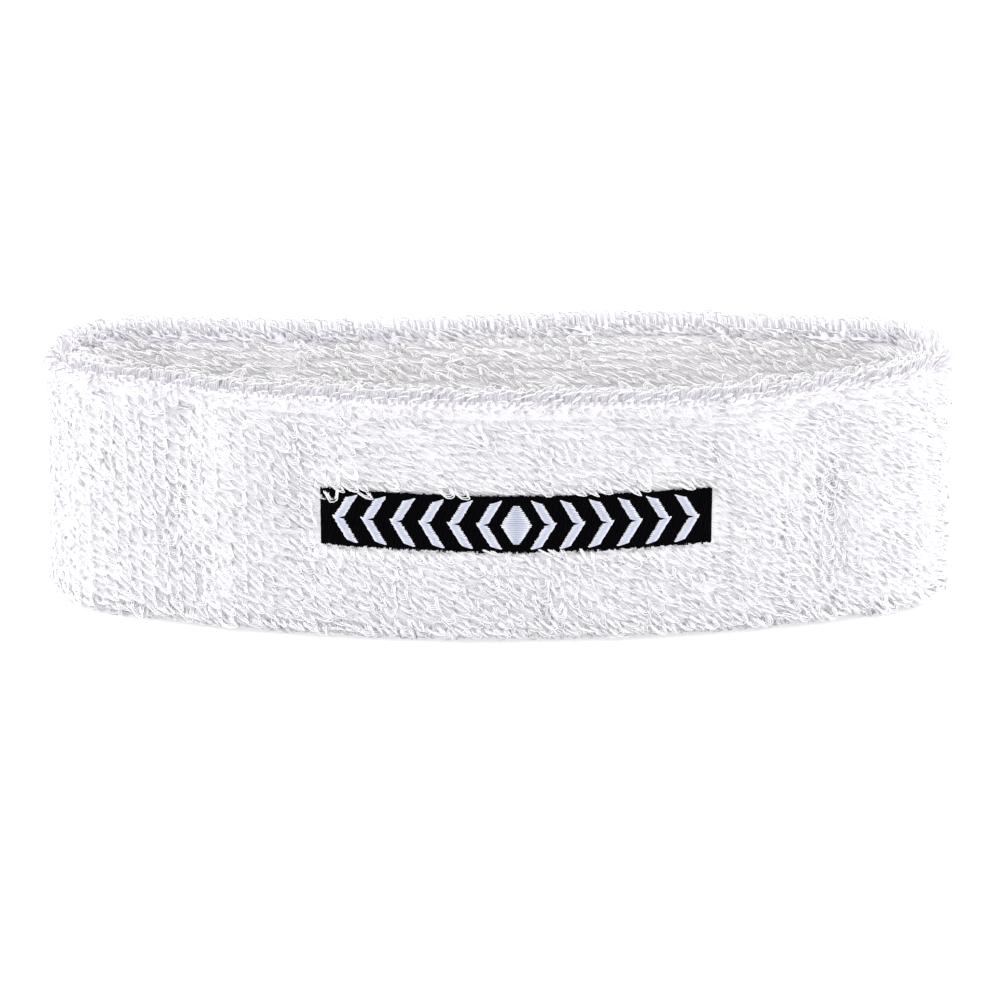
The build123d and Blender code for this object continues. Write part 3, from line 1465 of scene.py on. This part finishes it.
@dataclass(frozen=True)
class SoftBox:
    """A square studio light.

    Attributes:
        name: the light's name.
        place: where it hangs.
        size: its edge.
        power: in watts.
    """

    name: str
    place: tuple[float, float, float]
    size: float
    power: float

    def build(self) -> None:
        """Hang the light, turned to the band."""
        data = bpy.data.lights.new(self.name, "AREA")
        data.energy = self.power
        data.size = self.size
        lamp = add_object(self.name, data)
        lamp.location = self.place
        way = BOX_AIM - lamp.location
        lamp.rotation_euler = way.to_track_quat("-Z", "Y").to_euler()


@dataclass(frozen=True)
class Studio:
    """Pale floor, white surround, soft boxes and the camera.

    Attributes:
        distance: from the camera to what it looks at.
        elevation: degrees that it looks down.
        target: what it looks at.
        lens: focal length in millimetres on a 36 mm frame.
        surround: brightness of the white room.
        table: brightness of the lit table.
        boxes: the soft boxes.
    """

    distance: float = 1.5
    elevation: float = 18.1
    target: tuple[float, float, float] = (0.0, 9.5 * MM, 17.5 * MM)
    lens: float = 278.2
    surround: float = 1.4
    table: float = 0.58
    boxes: tuple[SoftBox, ...] = (
        SoftBox("left_box", (-0.8, -0.1, 0.3), 0.6, 5.2),
        SoftBox("right_box", (0.8, -0.1, 0.3), 0.6, 5.2),
        SoftBox("key_box", (0.0, -0.8, 0.95), 1.8, 5.6),
    )

    def build(self) -> None:
        """Set up the floor, the lights and the camera."""
        bpy.ops.mesh.primitive_plane_add(size=FLOOR_SIZE, location=(0, 0, 0))
        floor = bpy.context.object
        floor.name = "studio_floor"
        paper, _ = add_material(
            "studio_paper",
            {
                "Base Color": (0.4, 0.4, 0.4, 1),
                "Emission Color": (1, 1, 1, 1),
                "Emission Strength": self.table,
                "Roughness": 0.9,
                "Specular IOR Level": 0.1,
            },
        )
        floor.data.materials.append(paper)
        world = bpy.data.worlds.new("studio_surround")
        world.use_nodes = True
        set_inputs(
            world.node_tree.nodes["Background"], {"Color": (1, 1, 1, 1), "Strength": self.surround}
        )
        bpy.context.scene.world = world
        bpy.context.scene.view_settings.view_transform = "Standard"
        for box in self.boxes:
            box.build()
        down = math.radians(self.elevation)
        data = bpy.data.cameras.new("camera")
        data.lens = self.lens
        data.sensor_width = 36.0
        camera = add_object("camera", data)
        back = Vector((0, -math.cos(down), math.sin(down)))
        camera.location = Vector(self.target) + back * self.distance
        camera.rotation_euler = (math.radians(90) - down, 0, 0)
        bpy.context.scene.camera = camera


def main() -> None:
    """Build the band, layer by layer, and set it in the studio."""
    logging.basicConfig(level=logging.INFO, format="%(name)s %(message)s")
    Studio().build()
    tube = GroundKnit().build()
    with_tube = Core().build() + LinkingSeam().build()
    embroidery = Embroidery()
    with_tube += embroidery.build()
    with_tube += TerryPile(embroidery).build()
    around = SHAPE.girth(SHAPE.wall / 2)


if __name__ == "__main__":
    main()
